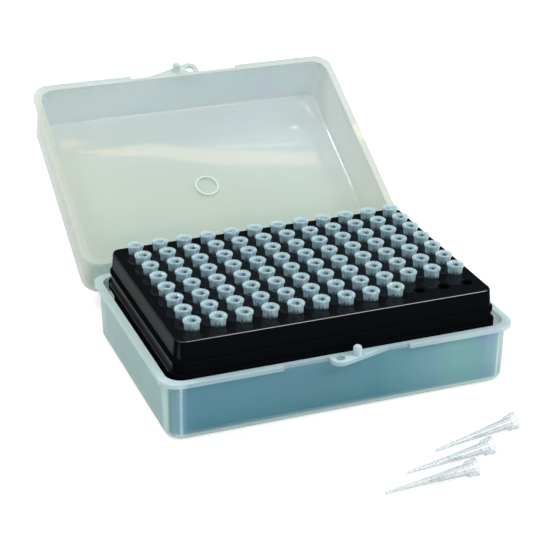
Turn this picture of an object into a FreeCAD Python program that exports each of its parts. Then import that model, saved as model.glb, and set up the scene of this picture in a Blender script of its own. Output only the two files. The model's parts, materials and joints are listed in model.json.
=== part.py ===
import FreeCAD, Part
import math
import os
import re
import Sketcher

# A hinged box of pipette tips, in millimetres.
# Z is up, X runs along the twelve columns of holes and Y towards the hinge.
# The origin lies on the table, under the middle of the base.
# The base and the lid are the same moulding: the lid is the base turned over about Y,
# so that each half's stud, eye, pin and clip meet their opposites on the other half.

document = FreeCAD.newDocument("pipette_tip_box")

# ---------------------------------------------------------------- driving dimensions

SIZES = [
    # the moulding that makes the base and the lid
    ("shell_corner", 7.0, "radius of the upright corners"),
    ("shell_draft", 1.3, "draft of the walls, degrees"),
    ("shell_wall", 1.3, "wall and floor thickness"),
    ("foot_radius", 2.2, "outside rounding where wall meets floor"),
    ("lip_reach", 1.4, "how far the rim's lip stands out"),
    ("lip_height", 1.5, "thickness of the lip"),
    ("lip_corner", 6.6, "corner radius of the lip"),
    ("lip_gap", 45.0, "length of the front stretch without a lip"),
    ("rim_gap", 0.3, "space left between the two rims when shut"),
    ("headroom", 4.6, "tips' rims to the inside of the shut lid"),
    ("gate_ring", 10.0, "diameter of the moulded ring at the gate"),
    ("gate_ring_wall", 0.9, "width of that ring"),
    ("gate_ring_height", 0.5, "height of that ring"),
    ("gate_ring_edge", 0.35, "rounding of the ring's edges"),
    # the latch at the front
    ("latch_offset", 3.05, "stud and eye from the middle of the front"),
    ("latch_reach", 1.9, "stud and eye in front of the wall"),
    ("lug_radius", 3.2, "rounding of the lug about the eye"),
    ("lug_tail", 15.0, "end of the lug's long slope from the middle"),
    ("lug_height", 1.5, "thickness of the lug"),
    ("stud_diameter", 3.0, "diameter of the stud"),
    ("stud_height", 3.7, "stud above the rim"),
    ("stud_dome", 1.25, "rounding of the stud's top"),
    ("stud_play", 0.2, "radial room for the stud in the eye"),
    # the hinge at the back
    ("hinge_reach", 4.1, "hinge line behind the wall"),
    ("hinge_offset", 32.0, "clip and pin from the middle of the back"),
    ("hinge_root", 6.0, "depth of the cheeks where they leave the wall"),
    ("knuckle_diameter", 4.6, "rounding of the cheeks and the clip"),
    ("pin_diameter", 2.4, "hinge pin"),
    ("pin_length", 9.0, "pin between its cheeks"),
    ("pin_play", 0.15, "radial room for the pin in the clip"),
    ("clip_mouth", 1.9, "opening that the pin snaps through"),
    ("cheek_wall", 1.6, "thickness of each cheek"),
    ("clip_play", 0.4, "room beside the clip, each side"),
    ("nose_play", 0.5, "room between the stop nose and the other half's wall"),
    ("stop_play", 0.15, "room between the lip and the stop nose when open"),
    ("lid_open", 150.0, "angle of the open lid from shut, degrees"),
    # the rack
    ("rack_wall", 1.6, "wall of the skirt"),
    ("rack_play_left", 1.5, "flange to the base's left wall"),
    ("rack_play_right", 3.2, "flange to the base's right wall"),
    ("rack_play_front", 0.4, "flange to the base's front wall"),
    ("rack_play_back", 2.6, "flange to the base's back wall"),
    ("margin_left", 7.5, "first column of holes to the deck's left edge"),
    ("margin_right", 5.8, "last column of holes to the deck's right edge"),
    ("margin_front", 7.9, "front row of holes to the deck's front edge"),
    ("margin_back", 5.7, "back row of holes to the deck's back edge"),
    ("deck_corner", 3.0, "corner radius of the deck"),
    ("deck_thickness", 1.8, "thickness of the deck"),
    ("deck_edge", 0.75, "rounding of the deck's edge"),
    ("upper_height", 6.9, "height of the upper tier"),
    ("upper_draft", 5.0, "draft of the upper tier, degrees"),
    ("rib_reach", 1.3, "how far the middle rib stands out past the deck"),
    ("rib_height", 1.2, "height of the middle rib"),
    ("lower_reach", 0.9, "how far the lower tier stands out past the deck"),
    ("lower_height", 3.3, "height of the lower tier"),
    ("flange_reach", 2.0, "how far the flange stands out past the deck"),
    ("flange_height", 2.2, "height of the flange"),
    ("skirt_reach", 0.2, "how far the skirt stands out past the deck"),
    ("window_length", 52.0, "opening in each end of the skirt, along Y"),
    ("window_height", 13.0, "height of that opening"),
    ("stiffener_height", 4.0, "depth of the ribs under the deck"),
    ("stiffener_wall", 1.2, "thickness of the ribs under the deck"),
    ("pitch", 9.0, "hole to hole, both ways"),
    ("columns", 12, "holes along X"),
    ("rows", 8, "holes along Y"),
    ("hole_play", 0.08, "radial room for a tip in its hole"),
    # a tip
    ("tip_length", 31.4, "orifice to rim"),
    ("tip_room", 4.9, "base's floor to the thin end of a racked tip"),
    ("hub_height", 3.4, "part of the tip that stands above the deck"),
    ("hub_diameter", 5.05, "hub just above the deck"),
    ("hub_flare", 0.1, "growth of the hub's radius up to the collar"),
    ("collar_diameter", 5.95, "collar at the rim"),
    ("collar_height", 1.0, "height of the collar"),
    ("collar_edge", 0.22, "bevel of the collar's edge"),
    ("seat_diameter", 3.84, "shaft where it enters the deck"),
    ("neck_height", 24.5, "orifice to the neck"),
    ("neck_diameter", 3.5, "shaft at the neck"),
    ("waist_height", 15.5, "orifice to the waist"),
    ("waist_diameter", 2.3, "shaft at the waist"),
    ("orifice_diameter", 0.9, "outside of the thin end"),
    ("orifice_bore", 0.45, "bore of the thin end"),
    ("tip_wall", 0.32, "wall of the shaft"),
    ("mouth_diameter", 4.7, "mouth of the bore at the rim"),
    ("throat_diameter", 3.6, "bore below the flared mouth"),
    ("throat_depth", 0.6, "depth of the flared mouth"),
    ("filter_base", 15.7, "orifice to the filter plug"),
    ("filter_length", 4.0, "length of the filter plug"),
    ("filter_play", 0.02, "radial room about the filter plug"),
]

sheet = document.addObject("Spreadsheet::Sheet", "sizes")
for row, (alias, value, meaning) in enumerate(SIZES, start=1):
    sheet.set(f"A{row}", alias.replace("_", " "))
    sheet.set(f"B{row}", str(value))
    sheet.set(f"C{row}", meaning)
    sheet.setAlias(f"B{row}", alias)
document.recompute()

ALIASES = {alias for alias, value, meaning in SIZES}

# Lengths worked out from the sheet: the tips size the rack, and the rack sizes the box.
RACK_HEIGHT = "(tip_room + tip_length - hub_height)"
DECK_LENGTH = "((columns - 1)*pitch + margin_left + margin_right)"
DECK_WIDTH = "((rows - 1)*pitch + margin_front + margin_back)"
SHELL_LENGTH = (f"({DECK_LENGTH} + 2*flange_reach + rack_play_left + rack_play_right"
                " + 2*shell_wall)")
SHELL_WIDTH = (f"({DECK_WIDTH} + 2*flange_reach + rack_play_front + rack_play_back"
               " + 2*shell_wall)")
SHELL_DEPTH = f"(({RACK_HEIGHT} + hub_height + headroom - rim_gap)/2 + shell_wall)"

# Places in a half of the box, whose own origin lies level with the parting plane.
PARTING = f"({SHELL_DEPTH} + rim_gap/2)"
RIM = "(-rim_gap/2)"
WALL_FACE = f"({SHELL_WIDTH}/2)"
WALL_CORE = f"({SHELL_WIDTH}/2 - shell_wall/2)"
HINGE_Y = f"({SHELL_WIDTH}/2 + hinge_reach)"
LATCH_Y = f"({SHELL_WIDTH}/2 + latch_reach)"

# The middle of the holes in the box, and the middle of the deck seen from there.
GRID_X = (f"(-{SHELL_LENGTH}/2 + shell_wall + rack_play_left + flange_reach + margin_left"
          " + (columns - 1)*pitch/2)")
GRID_Y = (f"(-{SHELL_WIDTH}/2 + shell_wall + rack_play_front + flange_reach + margin_front"
          " + (rows - 1)*pitch/2)")
DECK_X = "((margin_right - margin_left)/2)"
DECK_Y = "((margin_back - margin_front)/2)"

OVERCUT = "0.001"        # how far a cut runs past a face that it shares

EMPTY_HOLES = 3          # the last holes of the front row, whose tips are out of the box
LOOSE_TIPS = [           # thin end's X and Y on the table, and the way the rim points
    ("loose_tip_1", 16.7, -77.3, 7.8),
    ("loose_tip_2", 2.0, -86.2, 3.5),
    ("loose_tip_3", -8.8, -94.2, 0.3),
]


def linked(expression):
    """Point each sheet word in an expression at the sheet."""
    return re.sub(r"[a-z_]+", lambda m: f"sizes.{m[0]}" if m[0] in ALIASES else m[0], expression)


def value_of(expression):
    """Work an expression out now, for the first guess that a sketch starts from."""
    result = sheet.evalExpression(linked(expression))
    return float(getattr(result, "Value", result))


def bind(feature, **expressions):
    """Bind properties of a feature to expressions of the sheet."""
    for name, expression in expressions.items():
        feature.setExpression(name.replace("__", "."), linked(expression))


# ---------------------------------------------------------------- helpers for bodies

def new_body(label):
    body = document.addObject("PartDesign::Body", label)
    body.Label = label
    return body


def origin_feature(body, role):
    return next(o for o in body.Origin.OriginFeatures if o.Role == role)


def new_sketch(body, name, plane, height="0", x="0", y="0"):
    """A sketch on one of the body's own origin planes, moved along its normal and across it."""
    sketch = body.newObject("Sketcher::SketchObject", name)
    sketch.AttachmentSupport = [(origin_feature(body, plane), "")]
    sketch.MapMode = "FlatFace"
    bind(sketch, AttachmentOffset__Base__x=x, AttachmentOffset__Base__y=y,
         AttachmentOffset__Base__z=height)
    return sketch


def hold_one(sketch, kind, geometry, point, expression):
    """Dimension a point from the sketch's origin along one axis."""
    size = value_of(expression)
    if abs(size) < 1e-9:
        axis = -2 if kind == "DistanceX" else -1
        sketch.addConstraint(Sketcher.Constraint("PointOnObject", geometry, point, axis))
    elif size > 0:
        index = sketch.addConstraint(Sketcher.Constraint(kind, -1, 1, geometry, point, size))
        sketch.setExpression(f"Constraints[{index}]", linked(expression))
    else:
        index = sketch.addConstraint(Sketcher.Constraint(kind, geometry, point, -1, 1, -size))
        sketch.setExpression(f"Constraints[{index}]", linked(f"-({expression})"))


def hold(sketch, geometry, point, x, y):
    hold_one(sketch, "DistanceX", geometry, point, x)
    hold_one(sketch, "DistanceY", geometry, point, y)


def draw_polygon(sketch, corners):
    """A closed outline of straight lines whose corners are pairs of expressions."""
    places = [FreeCAD.Vector(value_of(x), value_of(y), 0) for x, y in corners]
    count = len(corners)
    first = sketch.GeometryCount
    for index in range(count):
        sketch.addGeometry(Part.LineSegment(places[index], places[(index + 1) % count]))
    for index in range(count):
        following = first + (index + 1) % count
        sketch.addConstraint(Sketcher.Constraint("Coincident", first + index, 2, following, 1))
    for index, (x, y) in enumerate(corners):
        hold(sketch, first + index, 1, x, y)


def draw_circle(sketch, x, y, diameter):
    centre = FreeCAD.Vector(value_of(x), value_of(y), 0)
    circle = sketch.addGeometry(Part.Circle(centre, FreeCAD.Vector(0, 0, 1), value_of(diameter) / 2))
    hold(sketch, circle, 3, x, y)
    index = sketch.addConstraint(Sketcher.Constraint("Diameter", circle, value_of(diameter)))
    sketch.setExpression(f"Constraints[{index}]", linked(diameter))


def draw_rectangle(sketch, length, width, x="0", y="0"):
    """A sharp-cornered rectangle about the point x, y."""
    left, right = f"{x} - ({length})/2", f"{x} + ({length})/2"
    front, back = f"{y} - ({width})/2", f"{y} + ({width})/2"
    draw_polygon(sketch, [(left, front), (right, front), (right, back), (left, back)])


def draw_rounded_rectangle(sketch, length, width, corner):
    """A rectangle about the sketch's origin with an arc at each corner."""
    half_x, half_y, radius = value_of(f"({length})/2"), value_of(f"({width})/2"), value_of(corner)
    up = FreeCAD.Vector(0, 0, 1)
    first = sketch.GeometryCount
    for turn in range(4):
        # Each side runs anticlockwise and is followed by the arc at its far end.
        side, reach = (half_x, half_y) if turn % 2 == 0 else (half_y, half_x)
        spin = FreeCAD.Rotation(up, 90 * turn)
        start = spin.multVec(FreeCAD.Vector(-side + radius, -reach, 0))
        end = spin.multVec(FreeCAD.Vector(side - radius, -reach, 0))
        centre = spin.multVec(FreeCAD.Vector(side - radius, -reach + radius, 0))
        sketch.addGeometry(Part.LineSegment(start, end))
        quarter = math.radians(90 * turn)
        circle = Part.Circle(centre, up, radius)
        sketch.addGeometry(Part.ArcOfCircle(circle, quarter - math.pi / 2, quarter))
    for turn in range(4):
        line, arc = first + 2 * turn, first + 2 * turn + 1
        following = first + (2 * turn + 2) % 8
        sketch.addConstraint(Sketcher.Constraint("Tangent", line, 2, arc, 1))
        sketch.addConstraint(Sketcher.Constraint("Tangent", arc, 2, following, 1))
        sketch.addConstraint(Sketcher.Constraint("Vertical" if turn % 2 else "Horizontal", line))
        if turn > 0:
            sketch.addConstraint(Sketcher.Constraint("Equal", first + 1, arc))
    index = sketch.addConstraint(Sketcher.Constraint("Radius", first + 1, radius))
    sketch.setExpression(f"Constraints[{index}]", linked(corner))
    hold_one(sketch, "DistanceY", first, 1, f"-({width})/2")
    hold_one(sketch, "DistanceX", first + 2, 1, f"({length})/2")
    hold_one(sketch, "DistanceY", first + 4, 1, f"({width})/2")
    hold_one(sketch, "DistanceX", first + 6, 1, f"-({length})/2")


def finish(feature, name):
    """Recompute and refuse a feature that did not build."""
    document.recompute()
    if "Invalid" in feature.State or "Error" in feature.State or feature.Shape.isNull():
        raise RuntimeError(f"{name} did not build: {feature.State}")
    return feature


def pad(body, name, sketch, length, downwards=False, draft=None):
    feature = body.newObject("PartDesign::Pad", name)
    feature.Profile = sketch
    feature.Reversed = downwards
    bind(feature, Length=length)
    if draft:
        bind(feature, TaperAngle=draft)
    return finish(feature, name)


def pocket(body, name, sketch, length, upwards=False, draft=None):
    """Cut a sketch into the body, and make sure that the cut took something away."""
    before = body.Shape.Volume
    feature = body.newObject("PartDesign::Pocket", name)
    feature.Profile = sketch
    feature.Reversed = upwards
    bind(feature, Length=length)
    if draft:
        bind(feature, TaperAngle=draft)
    finish(feature, name)
    if feature.Shape.Volume > before - 1e-3:
        raise RuntimeError(f"{name} cut nothing")
    return feature


def revolve(body, name, sketch):
    feature = body.newObject("PartDesign::Revolution", name)
    feature.Profile = sketch
    feature.ReferenceAxis = (sketch, ["V_Axis"])
    feature.Angle = 360
    return finish(feature, name)


def dress(body, kind, name, size, wanted):
    """Round ("Fillet", "Radius") or bevel ("Chamfer", "Size") the edges that wanted picks."""
    base = body.Tip
    edges = [f"Edge{n}" for n, edge in enumerate(base.Shape.Edges, start=1) if wanted(edge)]
    feature = body.newObject(f"PartDesign::{kind[0]}", name)
    feature.Base = (base, edges)
    bind(feature, **{kind[1]: size})
    return finish(feature, name)


FILLET = ("Fillet", "Radius")
CHAMFER = ("Chamfer", "Size")


def lies_at(edge, height):
    box = edge.BoundBox
    return abs(box.ZMin - height) < 0.01 and abs(box.ZMax - height) < 0.01


# ---------------------------------------------------------------- base and lid

def add_tray(body):
    """The open tray with its drafted walls, its lip and the ring about its gate."""
    outline = new_sketch(body, "wall_outline", "XY_Plane", RIM)
    draw_rounded_rectangle(outline, SHELL_LENGTH, SHELL_WIDTH, "shell_corner")
    pad(body, "walls", outline, SHELL_DEPTH, downwards=True, draft="-shell_draft")
    floor = value_of(f"{RIM} - {SHELL_DEPTH}")
    dress(body, FILLET, "foot_rounding", "foot_radius", lambda e: lies_at(e, floor))

    lip_outline = new_sketch(body, "lip_outline", "XY_Plane", RIM)
    draw_rounded_rectangle(lip_outline, f"{SHELL_LENGTH} + 2*lip_reach",
                           f"{SHELL_WIDTH} + 2*lip_reach", "lip_corner")
    pad(body, "lip", lip_outline, "lip_height", downwards=True)
    bare_front = new_sketch(body, "bare_front", "XY_Plane", RIM)
    draw_rectangle(bare_front, "lip_gap", "2*lip_reach", "0", f"-{WALL_FACE} - lip_reach")
    pocket(body, "lip_step", bare_front, f"lip_height + {OVERCUT}")

    inside = new_sketch(body, "inside_outline", "XY_Plane", RIM)
    draw_rounded_rectangle(inside, f"{SHELL_LENGTH} - 2*shell_wall",
                           f"{SHELL_WIDTH} - 2*shell_wall", "shell_corner - shell_wall")
    pocket(body, "inside", inside, f"{SHELL_DEPTH} - shell_wall", draft="-shell_draft")
    inner_floor = value_of(f"{RIM} - {SHELL_DEPTH} + shell_wall")
    dress(body, FILLET, "inside_rounding", "foot_radius - shell_wall",
          lambda e: lies_at(e, inner_floor))

    ring = new_sketch(body, "gate_ring_outline", "XY_Plane",
                      f"{RIM} - {SHELL_DEPTH} + shell_wall")
    draw_circle(ring, "0", "0", "gate_ring")
    draw_circle(ring, "0", "0", "gate_ring - 2*gate_ring_wall")
    pad(body, "gate_ring_pad", ring, "gate_ring_height")
    ring_top = inner_floor + value_of("gate_ring_height")
    dress(body, FILLET, "gate_ring_rounding", "gate_ring_edge", lambda e: lies_at(e, ring_top))


def add_latch(body):
    """The lug at the front, with the eye for the other half's stud beside its own stud."""
    eye_x = "(-latch_offset)"
    left = "(-latch_offset - lug_radius)"
    # The long slope runs from the lug's tail to touch the rounding about the eye.
    run = value_of(f"lug_tail - {eye_x}")
    drop = value_of("latch_reach")
    radius = value_of("lug_radius")
    touch = math.degrees(math.acos(radius / math.hypot(run, drop)) - math.atan2(drop, run))
    plate = new_sketch(body, "lug_outline", "XY_Plane", RIM)
    draw_polygon(plate, [
        (left, f"-{WALL_CORE}"),
        (left, f"-{LATCH_Y}"),
        (eye_x, f"-{LATCH_Y}"),
        (f"{eye_x} + lug_radius*cos({touch})", f"-{LATCH_Y} - lug_radius*sin({touch})"),
        ("lug_tail", f"-{WALL_FACE}"),
        ("lug_tail", f"-{WALL_CORE}"),
    ])
    pad(body, "lug", plate, "lug_height", downwards=True)
    nose = new_sketch(body, "lug_nose_outline", "XY_Plane", RIM)
    draw_circle(nose, eye_x, f"-{LATCH_Y}", "2*lug_radius")
    pad(body, "lug_nose", nose, "lug_height", downwards=True)

    eye = new_sketch(body, "eye_outline", "XY_Plane", RIM)
    draw_circle(eye, eye_x, f"-{LATCH_Y}", "stud_diameter + 2*stud_play")
    pocket(body, "eye", eye, f"lug_height + {OVERCUT}")

    stud = new_sketch(body, "stud_outline", "XY_Plane", f"{RIM} - lug_height")
    draw_circle(stud, "latch_offset", f"-{LATCH_Y}", "stud_diameter")
    pad(body, "stud", stud, "lug_height + stud_height")
    top = value_of(f"{RIM} + stud_height")
    dress(body, FILLET, "stud_dome", f"min(stud_dome; stud_diameter/2 - {OVERCUT})",
          lambda e: lies_at(e, top))


def add_plate(body, name, corners, start, thickness):
    """A plate that stands across X, from its outline in Y and Z."""
    sketch = new_sketch(body, f"{name}_outline", "YZ_Plane", start)
    draw_polygon(sketch, corners)
    pad(body, name, sketch, thickness)


def add_drum(body, name, diameter, start, length):
    """A round bar on the hinge line."""
    sketch = new_sketch(body, f"{name}_outline", "YZ_Plane", start)
    draw_circle(sketch, HINGE_Y, "0", diameter)
    pad(body, name, sketch, length)


def add_hinge(body):
    """A pin between two cheeks on one side, and on the other a clip for the other pin."""
    # The nose under each cheek meets the underside of the other half's lip, seen from
    # the hinge line at the open angle, and stops the lid there.
    lip_face = "(rim_gap/2 + lip_height + stop_play)"
    nose_root = "(knuckle_diameter/2)"
    nose_tip = "(hinge_reach - nose_play)"
    across, along = "cos(lid_open)", "sin(lid_open)"
    tip_y = f"{HINGE_Y} + {lip_face}*{along} - {nose_tip}*{across}"
    tip_z = f"{lip_face}*{across} + {nose_tip}*{along}"
    cheek = [
        (WALL_CORE, "-hinge_root"),
        (WALL_CORE, RIM),
        (HINGE_Y, RIM),
        (f"{HINGE_Y} + {lip_face}*{along} - {nose_root}*{across}",
         f"{lip_face}*{across} + {nose_root}*{along}"),
        (tip_y, tip_z),
        (tip_y, f"{tip_z} - cheek_wall"),
    ]
    inner = "(hinge_offset - pin_length/2)"
    outer = "(hinge_offset + pin_length/2)"
    for name, start in (("inner_cheek", f"{inner} - cheek_wall"), ("outer_cheek", outer)):
        add_plate(body, name, cheek, start, "cheek_wall")
        add_drum(body, f"{name}_drum", "knuckle_diameter", start, "cheek_wall")
    add_drum(body, "pin", "pin_diameter", f"{inner} - cheek_wall/2", "pin_length + cheek_wall")

    clip_width = "(pin_length - 2*clip_play)"
    clip_start = f"(-hinge_offset - {clip_width}/2)"
    arm = [
        (WALL_CORE, "-hinge_root + cheek_wall"),
        (WALL_CORE, RIM),
        (HINGE_Y, RIM),
        (HINGE_Y, "-knuckle_diameter/2"),
    ]
    add_plate(body, "clip_arm", arm, clip_start, clip_width)
    add_drum(body, "clip_drum", "knuckle_diameter", clip_start, clip_width)
    bore = new_sketch(body, "clip_bore_outline", "YZ_Plane", f"{clip_start} + {clip_width}")
    draw_circle(bore, HINGE_Y, "0", "pin_diameter + 2*pin_play")
    pocket(body, "clip_bore", bore, clip_width)
    mouth = new_sketch(body, "clip_mouth_outline", "YZ_Plane", f"{clip_start} + {clip_width}")
    draw_rectangle(mouth, "knuckle_diameter", "clip_mouth", f"{HINGE_Y} + knuckle_diameter/2")
    pocket(body, "clip_mouth", mouth, clip_width)


def build_shell(label, placement):
    body = new_body(label)
    add_tray(body)
    add_latch(body)
    add_hinge(body)
    body.setExpression("Placement", linked(placement))
    return body


# ---------------------------------------------------------------- the rack

def build_rack():
    """A stepped cover on a skirt, with a deck of holes; its underside is open.

    The rack's own origin lies on the base's floor, under the middle of the holes."""
    body = new_body("tip_rack")
    bind(body, Placement__Base__x=GRID_X, Placement__Base__y=GRID_Y,
         Placement__Base__z="shell_wall")
    flange_base = f"({RACK_HEIGHT} - upper_height - rib_height - lower_height - flange_height)"
    tiers = [
        # name, foot, height, how far it stands out past the deck
        ("skirt", "0", flange_base, "skirt_reach"),
        ("flange", flange_base, "flange_height", "flange_reach"),
        ("lower_tier", f"{flange_base} + flange_height", "lower_height", "lower_reach"),
        ("middle_rib", f"{flange_base} + flange_height + lower_height", "rib_height",
         "rib_reach"),
    ]
    for name, foot, rise, reach in tiers:
        outline = new_sketch(body, f"{name}_outline", "XY_Plane", foot, DECK_X, DECK_Y)
        draw_rounded_rectangle(outline, f"{DECK_LENGTH} + 2*{reach}",
                               f"{DECK_WIDTH} + 2*{reach}", f"deck_corner + {reach}")
        pad(body, name, outline, rise)

    # The upper tier narrows upwards, so it is drawn at the deck and grows as it goes down.
    upper = new_sketch(body, "upper_tier_outline", "XY_Plane", RACK_HEIGHT, DECK_X, DECK_Y)
    draw_rounded_rectangle(upper, DECK_LENGTH, DECK_WIDTH, "deck_corner")
    pad(body, "upper_tier", upper, "upper_height", downwards=True, draft="upper_draft")
    deck = value_of(RACK_HEIGHT)
    dress(body, FILLET, "deck_rounding", "deck_edge", lambda e: lies_at(e, deck))

    inset = "(rack_wall - skirt_reach)"
    hollow_length = f"({DECK_LENGTH} - 2*{inset})"
    hollow_width = f"({DECK_WIDTH} - 2*{inset})"
    hollow_height = f"({RACK_HEIGHT} - deck_thickness)"
    hollow = new_sketch(body, "hollow_outline", "XY_Plane", "0", DECK_X, DECK_Y)
    draw_rounded_rectangle(hollow, hollow_length, hollow_width, f"deck_corner - {inset}")
    pocket(body, "hollow", hollow, hollow_height, upwards=True)

    for end, outer_face in (("left", f"{DECK_X} - {DECK_LENGTH}/2 - skirt_reach"),
                            ("right", f"{DECK_X} + {hollow_length}/2")):
        window = new_sketch(body, f"{end}_window_outline", "YZ_Plane",
                            f"{outer_face} - {OVERCUT}", DECK_Y)
        draw_polygon(window, [
            ("-window_length/2", "0"),
            ("window_length/2", "0"),
            ("window_length/2 - window_height/2", "window_height"),
            ("-window_length/2 + window_height/2", "window_height"),
        ])
        pocket(body, f"{end}_window", window, f"rack_wall + 2*{OVERCUT}", upwards=True)

    add_stiffeners(body, hollow_length, hollow_width, hollow_height)

    hole = new_sketch(body, "hole_outline", "XY_Plane", RACK_HEIGHT)
    draw_circle(hole, "-(columns - 1)*pitch/2", "(rows - 1)*pitch/2",
                "seat_diameter + 2*hole_play")
    first = pocket(body, "first_hole", hole, "deck_thickness")
    grid = body.newObject("PartDesign::LinearPattern", "hole_grid")
    grid.Originals = [first]
    grid.Direction = (origin_feature(body, "X_Axis"), [""])
    grid.Direction2 = (origin_feature(body, "Y_Axis"), [""])
    grid.Reversed2 = True
    grid.Mode = "Spacing"
    grid.Mode2 = "Spacing"
    bind(grid, Offset="pitch", Offset2="pitch", Occurrences="columns", Occurrences2="rows")
    # A spacing of -1 stands for the pattern's own offset.
    grid.Spacings2 = [-1.0] * (int(value_of("rows")) - 1)
    body.Tip = grid
    finish(grid, "hole_grid")
    return body


def add_stiffeners(body, length, width, deck_underside):
    """Ribs under the deck, each midway between two lines of holes."""
    foot = f"{deck_underside} - stiffener_height"
    # The gap next to the middle line of holes, where their number is odd.
    middle_row_gap = "mod(rows; 2)*pitch/2"
    middle_column_gap = "mod(columns; 2)*pitch/2"
    for name, steps in (("back", 2), ("middle", 0), ("front", -2)):
        sketch = new_sketch(body, f"{name}_stiffener_outline", "XY_Plane", foot)
        draw_rectangle(sketch, f"{length} + rack_wall/2", "stiffener_wall",
                       DECK_X, f"{middle_row_gap} + {steps}*pitch")
        pad(body, f"{name}_stiffener", sketch, "stiffener_height")
    for name, steps in (("left", -3), ("centre", 0), ("right", 3)):
        sketch = new_sketch(body, f"{name}_stiffener_outline", "XY_Plane", foot)
        draw_rectangle(sketch, "stiffener_wall", f"{width} + rack_wall/2",
                       f"{middle_column_gap} + {steps}*pitch", DECK_Y)
        pad(body, f"{name}_stiffener", sketch, "stiffener_height")


# ---------------------------------------------------------------- tips and filters

def draw_tip(body):
    """Half the section of a tip, thin end down, turned about Z."""
    sketch = new_sketch(body, "tip_section", "XZ_Plane")
    draw_polygon(sketch, [
        ("orifice_bore/2", "0"),
        ("orifice_diameter/2", "0"),
        ("waist_diameter/2", "waist_height"),
        ("neck_diameter/2", "neck_height"),
        ("seat_diameter/2", "tip_length - hub_height"),
        ("hub_diameter/2", "tip_length - hub_height"),
        ("hub_diameter/2 + hub_flare", "tip_length - collar_height"),
        ("collar_diameter/2", "tip_length - collar_height + collar_edge"),
        ("collar_diameter/2", "tip_length - collar_edge"),
        ("collar_diameter/2 - collar_edge", "tip_length"),
        ("mouth_diameter/2", "tip_length"),
        ("throat_diameter/2", "tip_length - throat_depth"),
        ("neck_diameter/2 - tip_wall", "neck_height"),
        ("waist_diameter/2 - tip_wall", "waist_height"),
    ])
    return revolve(body, "tip", sketch)


def draw_filter(body):
    """The plug that fills the bore just above the waist."""
    slope = "((neck_diameter - waist_diameter)/2 / (neck_height - waist_height))"
    low = "filter_base"
    high = "(filter_base + filter_length)"
    play = "(tip_wall + filter_play)"
    radius = "waist_diameter/2 + {slope}*({level} - waist_height) - {play}"
    sketch = new_sketch(body, "filter_section", "XZ_Plane")
    draw_polygon(sketch, [
        ("0", low),
        (radius.format(slope=slope, level=low, play=play), low),
        (radius.format(slope=slope, level=high, play=play), high),
        ("0", high),
    ])
    return revolve(body, "filter", sketch)


def repeat_down_the_rows(body, feature, count):
    """Copies of one solid at the pitch of the rows, from the back row to the front."""
    row = body.newObject("PartDesign::LinearPattern", "row")
    row.Originals = [feature]
    row.Direction = (origin_feature(body, "Y_Axis"), [""])
    row.Reversed = True
    row.Mode = "Spacing"
    bind(row, Offset="pitch", Occurrences=count)
    body.Tip = row
    return finish(row, "row")


def build_columns(prefix, draw):
    """One body for each column of the rack, holding the column's separate copies."""
    columns = int(value_of("columns"))
    for column in range(1, columns + 1):
        body = new_body(f"{prefix}_{column:02d}")
        body.AllowCompound = True
        bind(body,
             Placement__Base__x=f"{GRID_X} + ({column} - (columns + 1)/2)*pitch",
             Placement__Base__y=f"{GRID_Y} + (rows - 1)*pitch/2",
             Placement__Base__z="shell_wall + tip_room")
        count = "rows - 1" if column > columns - EMPTY_HOLES else "rows"
        repeat_down_the_rows(body, draw(body), count)


def build_loose(label, draw, x, y, heading):
    """One piece of a tip that lies on the table on its collar and its thin end."""
    body = new_body(label)
    draw(body)
    lean = ("atan((collar_diameter - orifice_diameter)/2"
            " / (tip_length - collar_height + collar_edge))")
    rest = f"orifice_diameter/2*cos({lean})"
    body.setExpression("Placement", linked(
        f"placement(vector({x}; {y}; {rest}); "
        f"rotation(vector(0; 0; 1); {heading}) * rotation(vector(0; 1; 0); 90 deg - {lean}))"))


# ---------------------------------------------------------------- the assembly

build_shell("box_base", f"placement(vector(0; 0; {PARTING}); rotation(vector(1; 0; 0); 0))")
build_shell("box_lid", (
    f"placement(vector(0; {HINGE_Y}; {PARTING}); rotation(vector(1; 0; 0); -lid_open))"
    f" * placement(vector(0; -{HINGE_Y}; 0); rotation(vector(0; 1; 0); 180))"))
build_rack()
build_columns("tips_column", draw_tip)
build_columns("filters_column", draw_filter)
for label, x, y, heading in LOOSE_TIPS:
    build_loose(label, draw_tip, x, y, heading)
    build_loose(label.replace("tip", "filter"), draw_filter, x, y, heading)
document.recompute()

os.makedirs("parts", exist_ok=True)
for thing in document.Objects:
    if "Invalid" in thing.State or "Error" in thing.State:
        raise RuntimeError(f"{thing.Label}: {thing.State}")
for body in document.findObjects("PartDesign::Body"):
    shape = body.Shape
    if shape.isNull() or not shape.isValid():
        raise RuntimeError(f"{body.Label} has no valid shape")
    shape.exportStep(os.path.join("parts", f"{body.Label}.step"))
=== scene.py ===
import json
import math

import bpy
from mathutils import Matrix, Vector


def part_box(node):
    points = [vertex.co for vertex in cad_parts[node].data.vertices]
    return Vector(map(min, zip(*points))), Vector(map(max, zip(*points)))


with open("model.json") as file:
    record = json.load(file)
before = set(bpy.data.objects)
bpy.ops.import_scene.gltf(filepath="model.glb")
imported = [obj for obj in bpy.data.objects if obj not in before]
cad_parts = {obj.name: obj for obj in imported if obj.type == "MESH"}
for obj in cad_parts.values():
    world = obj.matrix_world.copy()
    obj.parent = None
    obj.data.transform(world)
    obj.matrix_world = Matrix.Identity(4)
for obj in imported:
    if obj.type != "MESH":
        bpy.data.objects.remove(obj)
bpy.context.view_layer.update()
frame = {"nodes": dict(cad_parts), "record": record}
nodes = frame["nodes"]
scene = bpy.context.scene


# ------------------------------------------------------------------ where the looks change

# Lengths are in metres. A pair says where a feature begins and where it is full.

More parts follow.
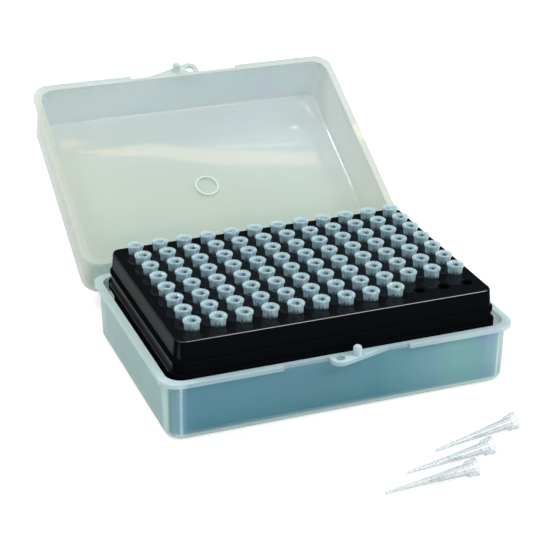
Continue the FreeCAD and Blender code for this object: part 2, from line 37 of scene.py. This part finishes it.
# The box: out from the middle of its outline, or in from its rim. Front is the side across
# from the hinge.
HINGE_TO_MIDDLE = 0.0472
# The rim's top face is laid paler: painted light from above.
LIP_DEPTH, PAINTED_LIGHT_RIM_TOP = (0.0019, 0.0014), (0.0005, 0.0002)
# The end walls, which take a paler haze colour: painted light from the side.
PAINTED_LIGHT_END_WALL = (0.0592, 0.0600)
FLOOR_DEPTH, FAR_FLOOR = (0.0192, 0.0200), (0.002, 0.032)
# Where the painted glow along the foot lies.
PAINTED_GLOW_END, PAINTED_GLOW_SIDE = (0.0588, 0.0600), (0.0402, 0.0414)
# Where the upright corners get extra haze: partly their own haze, partly a painted reflection.
CORNER_REFLECTION_END, CORNER_REFLECTION_SIDE = (0.0602, 0.0610), (0.0350, 0.0385)
# Where the painted highlight lies: a narrow pale streak beside each upright corner.
STREAK_HIGHLIGHT_LINE, STREAK_HIGHLIGHT_HALF_WIDTH = 0.0571, (0.0006, 0.0003)
STREAK_HIGHLIGHT_SIDE, STREAK_HIGHLIGHT_DEPTH = (0.0385, 0.0400), (0.0018, 0.0026)
RING_INSIDE, RING_OUTSIDE, RING_DEPTH = (0.0039, 0.0042), (0.0052, 0.0048), (0.018, 0.0185)
TURN_END, TURN_FRONT = (0.0548, 0.0575), (0.0400, 0.0410)
STRESS_START, STRESS_END, STRESS_FRONT = (0.012, 0.04), (0.0570, 0.0550), (0.036, 0.040)

# The rack: heights over the table, and distances in from its outline.
UPPER_TIER, UPPER_TIER_REACH = 0.0306, 0.0030
LOWER_TIER, LOWER_TIER_REACH = 0.0242, 0.0020
TIER_END, TIER_SIDES = (0.0036, 0.0032), (0.0045, 0.0065)
DECK_EDGE, DECK_EDGE_REACH = 0.0339, 0.00016
RACK_CORNER, RACK_CORNER_FOOT = (0.00315, 0.0030), (0.0275, 0.0285)
RACK_CORNER_TOP, RACK_TOP = (0.0006, 0.0009), (0.00003, 0.00001)

# The hubs of the racked tips: heights over the deck, distances from the axis, and turns in
# radians.
PITCH, FIRST_TIP = 0.009, (-0.0495, -0.0315)
HUB_FOOT, HUB_START, CROWN = (0.0009, 0.0004), (-0.0002, 0.0), (0.0029, 0.0032)
BORE_RADIUS, BORE_FLOOR = (0.00238, 0.0023), (0.0008, 0.0014)
RIB_COUNT = 12.0
# The painted shade patch in each mouth, at one turn and one height.
SHADE_PATCH_TURN, SHADE_PATCH_HALF_TURN = 0.9, (0.42, 0.2)
SHADE_PATCH_HEIGHT, SHADE_PATCH_HALF_HEIGHT = 0.0019, (0.0006, 0.0003)


# ------------------------------------------------------------------ what the looks are

# The box: the share of a face that is haze, what its features add to that, and their colours.
HAZE_BY_VIEW, HAZE_BY_FLOW = (0.33, 0.62), (-0.02, 0.02)
# The foot's added haze is a painted glow.
HAZE_ADDED = {"lip": 0.16, "foot": 0.4, "ring": 0.5, "turn": 0.5, "stress": 0.35}
PALE_FROST_AND_PAINTED_LIGHT = (0.78, 0.92, 0.86)
COOL_TURN, WARM_TURN = (0.50, 0.78, 1.0), (0.86, 0.96, 0.84)
VIOLET_STRESS, GREEN_STRESS = (0.50, 0.52, 0.90), (0.40, 0.77, 0.68)
BOX_TINT, FAR_BOX_TINT = (0.925, 0.915, 0.87), (0.91, 0.92, 0.915)
BOX_PASSED, FAR_BOX_PASSED = (0.64, 0.69, 0.62), (0.66, 0.74, 0.74)
BOX_MIRRORS, TIP_MIRRORS = 0.04, 0.07

# The rack: its colours, and the weight of the glossy coat on its features.
BLACK, DUST = (0.0038, 0.0048, 0.0064), (0.02, 0.024, 0.028)
UPPER_TIER_GLOSS, RACK_CORNER_GLOSS, RACK_TOP_GLOSS = 0.22, 0.12, 0.25

# The tips: the share of a face that is cloud, and how the features of a hub change it.
LOOSE_CLOUD, RACKED_CLOUD = 0.7, 0.85
RIB_CLOUD, WALL_CLOUD, BORE_CLOUD, CROWN_CLOUD = (0.06, 0.22), 0.5, 0.3, 0.35
FOOT_CLEARS, SHADE_PATCH_CLEARS, WALL_GLOSS = (0.9, 0.7), 0.8, 0.2
TIP_TINT, TIP_EDGE_TINT = (0.97, 0.985, 0.99), (0.45, 0.50, 0.51)
LOOSE_REFLECTED, LOOSE_PASSED, LOOSE_BACK_SHARE = (0.66, 0.74, 0.75), (0.84, 0.89, 0.88), 0.5
HUB_REFLECTED, CROWN_REFLECTED = (0.67, 0.92, 1.0), (0.74, 0.95, 1.0)
HUB_PASSED, HUB_BACK_SHARE = (0.70, 0.91, 1.0), 0.25


# ------------------------------------------------------------------ node helpers

class Graph:
    """A node tree, with short calls for adding and wiring nodes."""

    def __init__(self, tree):
        self.tree = tree

    def node(self, kind, inputs=None, **settings):
        n = self.tree.nodes.new(kind)
        for name, value in settings.items():
            setattr(n, name, value)
        for name, value in (inputs or {}).items():
            self.wire(value, n.inputs[name])
        return n

    def wire(self, value, socket):
        if isinstance(value, bpy.types.NodeSocket):
            self.tree.links.new(value, socket)
        elif isinstance(value, bpy.types.Node):
            self.tree.links.new(value.outputs[0], socket)
        elif isinstance(value, tuple) and len(value) == 3 and socket.type == "RGBA":
            socket.default_value = (*value, 1.0)
        else:
            socket.default_value = value

    def surface(self, shader):
        self.node("ShaderNodeOutputMaterial", {"Surface": shader})

    def math(self, operation, *values, clamp=False):
        return self.node("ShaderNodeMath", dict(enumerate(values)),
                         operation=operation, use_clamp=clamp).outputs[0]

    def fold(self, operation, first, *others):
        """The values taken together two at a time, from the left."""
        for other in others:
            first = self.math(operation, first, other)
        return first

    def add(self, *values):
        return self.fold("ADD", *values)

    def multiply(self, *values):
        return self.fold("MULTIPLY", *values)

    def most(self, *values):
        return self.fold("MAXIMUM", *values)

    def without(self, value):
        return self.math("SUBTRACT", 1.0, value)

    def apart(self, value, other):
        return self.math("ABSOLUTE", self.math("SUBTRACT", value, other))

    def length(self, x, y):
        return self.math("SQRT", self.add(self.multiply(x, x), self.multiply(y, y)))

    def mix_colour(self, factor, first, second):
        return self.node("ShaderNodeMix", {0: factor, 6: first, 7: second},
                         data_type="RGBA").outputs[2]

    def mix_shader(self, factor, first, second):
        return self.node("ShaderNodeMixShader", {0: factor, 1: first, 2: second}).outputs[0]

    def span(self, value, low, high, to_low=0.0, to_high=1.0):
        """The value carried from low and high over to to_low and to_high, and held there."""
        inputs = dict(enumerate((value, low, high, to_low, to_high)))
        return self.node("ShaderNodeMapRange", inputs, clamp=True).outputs[0]

    def noise(self, scale, detail, roughness, stretch=None):
        place = self.node("ShaderNodeTexCoord").outputs["Object"]
        if stretch:
            place = self.node("ShaderNodeMapping", {"Vector": place, "Scale": stretch})
        return self.node("ShaderNodeTexNoise", {
            "Vector": place, "Scale": scale, "Detail": detail, "Roughness": roughness,
        }).outputs["Fac"]

    def bump(self, height, strength, distance):
        return self.node("ShaderNodeBump", {
            "Height": height, "Strength": strength, "Distance": distance,
        }).outputs["Normal"]


def new_material(name):
    """An empty material, and the graph that fills it."""
    material = bpy.data.materials.new(name)
    material.use_nodes = True
    material.node_tree.nodes.clear()
    return material, Graph(material.node_tree)


def srgb(red, green, blue):
    """A display colour, 0 to 255, as the linear colour that the shaders want."""
    def line(v):
        v /= 255
        return v / 12.92 if v <= 0.04045 else ((v + 0.055) / 1.055) ** 2.4
    return (line(red), line(green), line(blue))


# ------------------------------------------------------------------ materials

def see_through(g, share, gloss, tint, reflected, passed, back_share, roughness, normal):
    """Cloudy clear plastic, as one of the two faces that a wall shows.

    share is how much of the face is cloud, gloss how much it mirrors. The cloud sends
    back the colour reflected and lets the colour passed through, by back_share."""
    cloud = g.mix_shader(back_share,
                         g.node("ShaderNodeBsdfDiffuse", {"Color": reflected}),
                         g.node("ShaderNodeBsdfTranslucent", {"Color": passed}))
    clear = g.node("ShaderNodeBsdfTransparent", {"Color": tint})
    shine = g.node("ShaderNodeBsdfGlossy", {"Roughness": roughness, "Normal": normal})
    return g.mix_shader(gloss, g.mix_shader(share, clear, cloud), shine)


def facing(g):
    """0 where a face is seen square on, 1 where it is seen edge on, from either side."""
    return g.node("ShaderNodeLayerWeight", {"Blend": 0.5}).outputs["Facing"]


def mirror_share(g, edge_on, square_on):
    """Schlick's share of light that a clear face mirrors."""
    return g.add(square_on, g.multiply(1 - square_on, g.math("POWER", edge_on, 5.0)))


def clear_box(name, hinge, inward, forward, look):
    """Natural polypropylene: see-through, with a blue haze over dark and a warm cast over light.

    The haze is thicker in the lip, the upright corners, the gate's ring, and the turn and the
    stressed right half of the front wall. Painted light is laid on as haze too: a painted glow
    along the foot, painted reflection in the upright corners on top of their own haze, a painted
    highlight streak beside each upright corner, painted light from above on the rim's top face,
    and a paler haze colour on the end walls for light from the side."""
    material, g = new_material(name)
    place = g.node("ShaderNodeTexCoord").outputs["Object"]
    offset = g.node("ShaderNodeVectorMath", {0: place, 1: hinge}, operation="SUBTRACT")

    def along(direction):
        return g.node("ShaderNodeVectorMath", {0: offset, 1: direction},
                      operation="DOT_PRODUCT").outputs["Value"]

    x, level = along((1.0, 0.0, 0.0)), along(inward)
    y = g.math("SUBTRACT", along(forward), HINGE_TO_MIDDLE)
    end, side = g.math("ABSOLUTE", x), g.math("ABSOLUTE", y)

    # The features: 0 away from them, up to 1 in them.
    lip = g.span(level, *LIP_DEPTH)
    bottom = g.span(level, *FLOOR_DEPTH)
    # The end walls, laid paler: painted light from the side.
    painted_light_end_wall = g.span(end, *PAINTED_LIGHT_END_WALL)
    # A painted glow: the foot is laid paler and hazier, for light from the table coming up through
    # the floor plate.
    outline = g.most(g.span(end, *PAINTED_GLOW_END, 0.3, 1.0), g.span(side, *PAINTED_GLOW_SIDE))
    foot = g.multiply(bottom, outline, look["foot"])
    # The upright corners: partly real haze seen edge on, partly a painted reflection laid on as
    # paler haze.
    corner = g.math("MINIMUM", g.span(end, *CORNER_REFLECTION_END), g.span(side, *CORNER_REFLECTION_SIDE))
    corner = g.multiply(corner, g.without(lip))
    # A painted highlight: a narrow pale upright streak beside each upright corner, laid on as haze
    # in the lip's colour.
    painted_streak = g.math("MINIMUM", g.span(g.apart(end, STREAK_HIGHLIGHT_LINE), *STREAK_HIGHLIGHT_HALF_WIDTH),
                  g.span(side, *STREAK_HIGHLIGHT_SIDE))
    painted_streak_strength = g.span(g.noise(60, 2, 0.5), 0.35, 0.6, look["painted_streak"] / 2, look["painted_streak"])
    painted_streak = g.multiply(painted_streak, g.span(level, *STREAK_HIGHLIGHT_DEPTH), painted_streak_strength)
    off_gate = g.length(x, y)
    ring = g.multiply(g.span(off_gate, *RING_INSIDE), g.span(off_gate, *RING_OUTSIDE),
                      g.span(level, *RING_DEPTH))
    turn = g.math("MINIMUM", g.span(end, *TURN_END), g.span(y, *TURN_FRONT))
    turn = g.multiply(turn, look["corner"] * 0.8)
    stress = g.multiply(g.span(x, *STRESS_START), g.span(y, *STRESS_FRONT),
                        g.span(x, *STRESS_END))
    # The gate ring's frost, with the painted glow of the foot and the painted reflection in the
    # upright corners, takes the pale haze colour.
    frost_and_painted_light = g.most(foot, g.most(g.multiply(corner, 0.8), ring))
    far = g.span(g.add(y, g.multiply(x, 0.35)), *FAR_FLOOR)

    # The surface.
    flow = g.noise(34, 1, 0.4)
    cast = g.noise(11, 1, 0.4)
    scuff = g.noise(900, 2, 0.6, stretch=(1.0, 0.12, 1.0))
    bands = g.noise(55, 2, 0.5, stretch=(1.0, 1.0, 0.6))
    normal = g.bump(flow, 0.008, 0.0006)
    roughness = g.span(g.add(flow, g.multiply(scuff, 0.5)), 0.45, 1.1, 0.012, 0.03)
    edge_on = facing(g)

    # How much haze, and its colour: each layer lies over the ones before it.
    share = g.add(g.span(edge_on, 0.0, 1.0, *HAZE_BY_VIEW),
                  g.span(flow, 0.3, 0.7, *HAZE_BY_FLOW),
                  g.multiply(lip, HAZE_ADDED["lip"]),
                  # Painted light from above on the top face of the rim.
                  g.multiply(g.span(level, *PAINTED_LIGHT_RIM_TOP), look["top"]),
                  g.multiply(foot, HAZE_ADDED["foot"]),
                  g.multiply(corner, look["corner"]),
                  painted_streak,
                  g.multiply(ring, HAZE_ADDED["ring"]),
                  g.multiply(turn, HAZE_ADDED["turn"]))
    stress_haze = g.multiply(stress, HAZE_ADDED["stress"] * look["corner"])
    share = g.math("ADD", share, stress_haze, clamp=True)
    warmer_haze = tuple(v * k for v, k in zip(look["haze"], (1.18, 1.05, 0.93)))
    haze = g.mix_colour(g.span(cast, 0.35, 0.65), look["haze"], warmer_haze)
    for factor, colour in (
            # The end walls' paler colour is painted light falling from the side.
            (g.multiply(painted_light_end_wall, 0.8), look["end"]),
            (turn, g.mix_colour(g.span(x, -0.01, 0.01), COOL_TURN, WARM_TURN)),
            (g.multiply(stress, 0.6),
             g.mix_colour(g.span(bands, 0.42, 0.58), VIOLET_STRESS, GREEN_STRESS)),
            # The lip's colour, which also colours the painted highlight streak.
            (g.most(g.multiply(lip, 0.7), g.multiply(painted_streak, 1.6)), look["lip"]),
            (bottom, g.mix_colour(far, look["floor"], look["far floor"])),
            (frost_and_painted_light, PALE_FROST_AND_PAINTED_LIGHT)):
        haze = g.mix_colour(factor, haze, colour)
    tint = g.mix_colour(far, BOX_TINT, FAR_BOX_TINT)
    passed = g.mix_colour(far, BOX_PASSED, FAR_BOX_PASSED)
    back_share = g.span(frost_and_painted_light, 0.0, 1.0, 0.4, 0.2)
    g.surface(see_through(g, share, mirror_share(g, edge_on, BOX_MIRRORS), tint, haze, passed,
                          back_share, roughness, normal))
    return material


def black_rack(low, high):
    """Satin black moulding with faint flow marks and dust. low and high are its bounds.

    It is glossier on the two tiers of its end walls, where the lights show as a soft grey
    sheen, and on its upright corners, its deck and the deck's edge."""
    material, g = new_material("black_rack")
    place = g.node("ShaderNodeSeparateXYZ", {0: g.node("ShaderNodeTexCoord").outputs["Object"]})
    level = place.outputs["Z"]

    def near(height, reach):
        return g.span(g.apart(level, height), reach, reach * 0.8)

    def inset(axis, reaches):
        """A span over reaches that are taken in from both sides of the outline."""
        middle, half = (low[axis] + high[axis]) / 2, (high[axis] - low[axis]) / 2
        return g.span(g.apart(place.outputs[axis], middle), *(half - reach for reach in reaches))

    sheen = g.most(g.multiply(near(UPPER_TIER, UPPER_TIER_REACH), UPPER_TIER_GLOSS),
                   near(LOWER_TIER, LOWER_TIER_REACH))
    sheen = g.multiply(sheen, g.multiply(inset(0, TIER_END), inset(1, TIER_SIDES)))
    corner = g.multiply(inset(0, RACK_CORNER), inset(1, RACK_CORNER),
                        g.span(level, *RACK_CORNER_FOOT),
                        g.span(level, *(high.z - drop for drop in RACK_CORNER_TOP)))
    edges = g.most(sheen, g.multiply(corner, RACK_CORNER_GLOSS),
                   near(DECK_EDGE, DECK_EDGE_REACH))
    top = g.span(level, *(high.z - drop for drop in RACK_TOP))

    flow = g.noise(60, 2, 0.5)
    dust = g.span(g.noise(5200, 2, 0.7), 0.66, 0.8)
    g.surface(g.node("ShaderNodeBsdfPrincipled", {
        "Base Color": g.mix_colour(g.multiply(dust, 0.2), BLACK, DUST),
        "Roughness": g.span(flow, 0.3, 0.7, 0.14, 0.2),
        "Specular IOR Level": 0.0,
        "Normal": g.bump(flow, 0.06, 0.0004),
        "Coat Weight": g.most(edges, g.multiply(top, RACK_TOP_GLOSS)),
        "Coat Roughness": g.span(sheen, 0.0, 0.2, 0.04, 0.3),
        "Coat IOR": 1.9,
    }))
    return material


def tip_basis(g, dense):
    """What all tips have: flow marks, and cloud and gloss that grow towards edge on."""
    flow, edge_on = g.noise(500, 2, 0.5), facing(g)
    share = g.math("ADD", g.span(g.math("POWER", edge_on, 2.0), 0.0, 1.0, 0.18, dense),
                   g.span(flow, 0.3, 0.7, -0.05, 0.05), clamp=True)
    return flow, edge_on, share, mirror_share(g, edge_on, TIP_MIRRORS)


def tip_surface(g, share, gloss, tint, reflected, passed, back_share, flow, height):
    g.surface(see_through(g, share, gloss, tint, reflected, passed, back_share,
                          g.span(flow, 0.3, 0.7, 0.04, 0.1), g.bump(height, 0.1, 0.0002)))


def loose_tip():
    """Clear polypropylene, darker towards edge on."""
    material, g = new_material("loose_tip")
    flow, edge_on, share, gloss = tip_basis(g, LOOSE_CLOUD)
    tint = g.mix_colour(g.math("POWER", edge_on, 3.0), TIP_TINT, TIP_EDGE_TINT)
    tip_surface(g, share, gloss, tint, LOOSE_REFLECTED, LOOSE_PASSED, LOOSE_BACK_SHARE,
                flow, flow)
    return material


def racked_tip(deck):
    """Slightly blue polypropylene, for the tips that stand in the rack's deck.

    The hub's foot is clearer and ribbed, and its rim and its bore are frosted. One patch of
    the mouth is made clear so that it looks dark: painted shade in the bore."""
    material, g = new_material("racked_tip")
    flow, edge_on, share, gloss = tip_basis(g, RACKED_CLOUD)
    place = g.node("ShaderNodeSeparateXYZ", {0: g.node("ShaderNodeTexCoord").outputs["Object"]})
    above = g.math("SUBTRACT", place.outputs["Z"], deck)

    def off_axis(axis):
        """How far a point is from the middle of the tip that it belongs to."""
        from_edge = g.math("SUBTRACT", place.outputs[axis], FIRST_TIP[axis] - PITCH / 2)
        return g.math("SUBTRACT", g.math("FLOORED_MODULO", from_edge, PITCH), PITCH / 2)

    x, y = off_axis(0), off_axis(1)
    turn = g.math("ARCTAN2", y, x)
    ribs = g.math("SINE", g.multiply(turn, RIB_COUNT))
    bore = g.multiply(g.span(g.length(x, y), *BORE_RADIUS), g.span(above, *BORE_FLOOR))
    crown = g.span(above, *CROWN)
    wall = g.multiply(g.span(edge_on, 0.25, 0.65), g.span(crown, 0.0, 1.0, 1.0, 0.35))
    foot = g.multiply(g.span(above, *HUB_FOOT), g.span(wall, 0.0, 1.0, 1.0, 0.3))
    clear_foot = g.multiply(foot, g.span(ribs, -0.3, 0.5, *FOOT_CLEARS))
    # Painted shade: a patch of each mouth, at the same turn on every tip, is cleared so that the
    # dark deck shows, standing for the shade in the bore.
    painted_shade_patch = g.multiply(g.span(g.apart(turn, SHADE_PATCH_TURN), *SHADE_PATCH_HALF_TURN),
                        g.span(g.apart(above, SHADE_PATCH_HEIGHT), *SHADE_PATCH_HALF_HEIGHT))

    share = g.add(share, g.multiply(g.span(above, *HUB_START), g.span(ribs, -1, 1, *RIB_CLOUD)))
    share = g.math("ADD", share, g.multiply(wall, WALL_CLOUD), clamp=True)
    share = g.multiply(share, g.without(clear_foot))
    share = g.math("ADD", share, g.multiply(bore, BORE_CLOUD), clamp=True)
    share = g.most(share, g.multiply(crown, CROWN_CLOUD))
    share = g.multiply(share, g.without(g.multiply(painted_shade_patch, SHADE_PATCH_CLEARS)))
    gloss = g.math("ADD", gloss, g.multiply(wall, WALL_GLOSS), clamp=True)
    reflected = g.mix_colour(crown, HUB_REFLECTED, CROWN_REFLECTED)
    tip_surface(g, share, gloss, TIP_TINT, reflected, HUB_PASSED, HUB_BACK_SHARE,
                flow, g.add(flow, g.multiply(ribs, 0.25)))
    return material


def filter_plug():
    """White sintered plug."""
    material, g = new_material("filter_plug")
    pores = g.noise(4200, 3, 0.7)
    g.surface(g.node("ShaderNodeBsdfPrincipled", {
        "Base Color": g.mix_colour(g.span(pores, 0.35, 0.65),
                                   srgb(224, 228, 230), srgb(250, 250, 250)),
        "Roughness": 0.85,
        "Normal": g.bump(pores, 0.5, 0.00008),
    }))
    return material


# Each half of the box is measured from the hinge line: in towards its floor, and forwards.
joint = frame["record"]["behaviour"]["joints"][0]
hinge = Vector(joint["pos_m"])
opening = Matrix.Rotation(-math.radians(joint["range_deg"][1]), 3, "X")
# In each look, "end" is the end walls' paler haze colour, painted light from the side; "top",
# "foot" and "corner" scale the painted light on the rim's top face, the painted glow of the foot
# and the painted reflection in the corners, and "corner" also scales the turn and the stress.
base_material = clear_box("clear_base", hinge, Vector((0, 0, -1)), Vector((0, -1, 0)), {
    "haze": (0.17, 0.63, 0.90), "lip": (0.86, 0.98, 0.98), "end": (0.50, 1.0, 0.95),
    "floor": (0.30, 0.67, 0.80), "far floor": (0.30, 0.67, 0.80),
    "top": 0.4, "foot": 0.8, "corner": 0.75, "painted_streak": 0.5})
lid_material = clear_box("clear_lid", hinge, opening @ Vector((0, 0, 1)),
                         opening @ Vector((0, -1, 0)), {
    "haze": (0.32, 0.67, 0.80), "lip": (0.85, 0.89, 0.80), "end": (0.85, 0.93, 0.84),
    "floor": (0.33, 0.53, 0.48), "far floor": (0.40, 0.58, 0.60),
    "top": 0.0, "foot": 0.2, "corner": 0.1, "painted_streak": 0.0})
rack_material = black_rack(*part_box("tip_rack"))
loose_tip_material, filter_material = loose_tip(), filter_plug()
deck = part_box("tip_rack")[1].z
racked_tip_material = racked_tip(deck)

for name, node in nodes.items():
    material = racked_tip_material
    if name == "box_base":
        material = base_material
    elif name == "box_lid":
        material = lid_material
    elif name == "tip_rack":
        material = rack_material
    elif "filter" in name:
        material = filter_material
    elif "loose" in name:
        material = loose_tip_material
    node.data.materials.clear()
    node.data.materials.append(material)


# ------------------------------------------------------------------ stage and light

FLOOR_HALF_SIZE, FLOOR_DROP = 3.0, 0.0002
CEILING = 1.0
WARM, WHITE = (1.0, 0.60, 0.26), (1.0, 1.0, 1.0)
BAND_WIDTH, BAND_WIDENS = 0.012, 0.0007
SKY_RISE, SKY_STRENGTH = (0.5, 0.8), (0.05, 1.1)


def floor():
    """A white table: what the camera sees of it is lifted to white, short of the shadow."""
    mesh = bpy.data.meshes.new("floor")
    size = FLOOR_HALF_SIZE
    mesh.from_pydata([(-size, -size, 0), (size, -size, 0), (size, size, 0), (-size, size, 0)],
                     [], [(0, 1, 2, 3)])
    thing = bpy.data.objects.new("floor", mesh)
    thing.location.z = -FLOOR_DROP
    scene.collection.objects.link(thing)
    material, g = new_material("floor")
    seen = g.node("ShaderNodeLightPath").outputs["Is Camera Ray"]
    paper = g.node("ShaderNodeBsdfDiffuse", {"Color": (0.9, 0.9, 0.9)})
    dimmed = g.node("ShaderNodeBsdfDiffuse", {"Color": (0.5, 0.5, 0.5)})
    lifted = g.node("ShaderNodeAddShader", {
        0: dimmed, 1: g.node("ShaderNodeEmission", {"Strength": 0.62})})
    g.surface(g.mix_shader(seen, paper, lifted))
    mesh.materials.append(material)


def lamp(name, place, aim, size, power, colour=WHITE):
    data = bpy.data.lights.new(name, "AREA")
    data.shape = "RECTANGLE"
    data.size, data.size_y = size
    data.energy = power
    data.color = colour
    thing = bpy.data.objects.new(name, data)
    thing.location = place
    thing.rotation_euler = (Vector(aim) - Vector(place)).to_track_quat("-Z", "Y").to_euler()
    scene.collection.objects.link(thing)
    return thing


def strip(name, start, end, aim, width, brightness, colour):
    """A thin lamp under the ceiling, from start to end, that shines towards aim."""
    start, end = Vector((*start, CEILING)), Vector((*end, CEILING))
    middle, length = (start + end) / 2, (end - start).length
    thing = lamp(name, middle, aim, (length, width), brightness * length * width * math.pi, colour)
    across = (end - start).normalized()
    back = (middle - Vector(aim)).normalized()
    back = (back - across * back.dot(across)).normalized()
    thing.rotation_euler = Matrix((across, back.cross(across), back)).transposed().to_euler()


floor()
lamp("key", (-0.5, 0.35, 1.0), (0, 0.03, 0.02), (0.2, 0.2), 5.5)
lamp("fill", (0.9, -0.5, 0.8), (0, 0, 0.02), (0.2, 0.2), 3.2)
lamp("front", (0.42, -0.75, 0.75), (0, -0.04, 0.03), (0.4, 0.3), 2.6)
low_lamp = lamp("side", (0.24, -0.42, 0.14), (0.06, -0.045, 0.01), (0.1, 0.1), 0.25)
low_lamp.visible_glossy = False  # its mirror image would whiten a corner of the shut lid

# Ceiling lights that show as soft bands in the open lid. The warm one bends, in pieces that
# each have the brightness given for their start.
lid_middle = (0.0, 0.11, 0.035)
bend = [((0.157, 0.2800), 13.0), ((0.182, 0.2755), 3.8), ((0.2101, 0.2692), 3.3),
        ((0.25, 0.2638), 3.0), ((0.315, 0.2475), 2.8), ((0.412, 0.234), 2.8),
        ((0.433, 0.2315), 5.0), ((0.49, 0.2265), 0.0)]
for index, ((start, brightness), (end, _)) in enumerate(zip(bend, bend[1:])):
    strip(f"band_{index}", start, end, lid_middle, BAND_WIDTH + BAND_WIDENS * index,
          brightness, WARM)
for index, (start, end, width, brightness) in enumerate((
        ((0.31, 0.277), (0.411, 0.275), 0.003, 9.0),
        ((0.32, 0.2577), (0.417, 0.250), 0.002, 2.5),
        ((0.412, 0.298), (0.428, 0.291), 0.004, 9.0),
        ((0.428, 0.291), (0.437, 0.275), 0.004, 12.0),
        ((0.410, 0.270), (0.416, 0.2685), 0.005, 9.0))):
    strip(f"streak_{index}", start, end, lid_middle, width, brightness, WHITE)

# The sky is white to the camera. It lights the object from overhead, and hardly from the side.
world = bpy.data.worlds.new("studio")
scene.world = world
world.use_nodes = True
sky = Graph(world.node_tree)
background = sky.tree.nodes["Background"]
seen = sky.node("ShaderNodeLightPath").outputs["Is Camera Ray"]
rise = sky.node("ShaderNodeSeparateXYZ", {0: sky.node("ShaderNodeTexCoord").outputs["Generated"]})
glow = sky.span(rise.outputs["Z"], *SKY_RISE, *SKY_STRENGTH)
sky.wire(sky.add(sky.multiply(glow, sky.without(seen)), seen), background.inputs["Strength"])
sky.wire(WHITE, background.inputs["Color"])


# ------------------------------------------------------------------ camera

CAMERA_PLACE = (-0.19014, -0.46588, 0.26689)
AZIMUTH, ELEVATION, ROLL = (math.radians(v) for v in (-21.28, 25.10, 0.38))
SENSOR_WIDTH, PHOTO_WIDTH, FOCAL_LENGTH = 36, 550, 1590.9  # mm, pixels and pixels

back = Vector((math.sin(AZIMUTH) * math.cos(ELEVATION),
               -math.cos(AZIMUTH) * math.cos(ELEVATION), math.sin(ELEVATION)))
right = Vector((0, 0, 1)).cross(back).normalized()
up = back.cross(right)
turned_right = right * math.cos(ROLL) + up * math.sin(ROLL)
turned_up = up * math.cos(ROLL) - right * math.sin(ROLL)
camera_data = bpy.data.cameras.new("camera")
camera_data.sensor_width = SENSOR_WIDTH
camera_data.lens = SENSOR_WIDTH * FOCAL_LENGTH / PHOTO_WIDTH
camera_data.clip_start = 0.01
camera = bpy.data.objects.new("camera", camera_data)
camera.matrix_world = Matrix.Translation(CAMERA_PLACE) @ Matrix(
    (turned_right, turned_up, back)).transposed().to_4x4()
scene.collection.objects.link(camera)
scene.camera = camera

scene.view_settings.view_transform = "Standard"
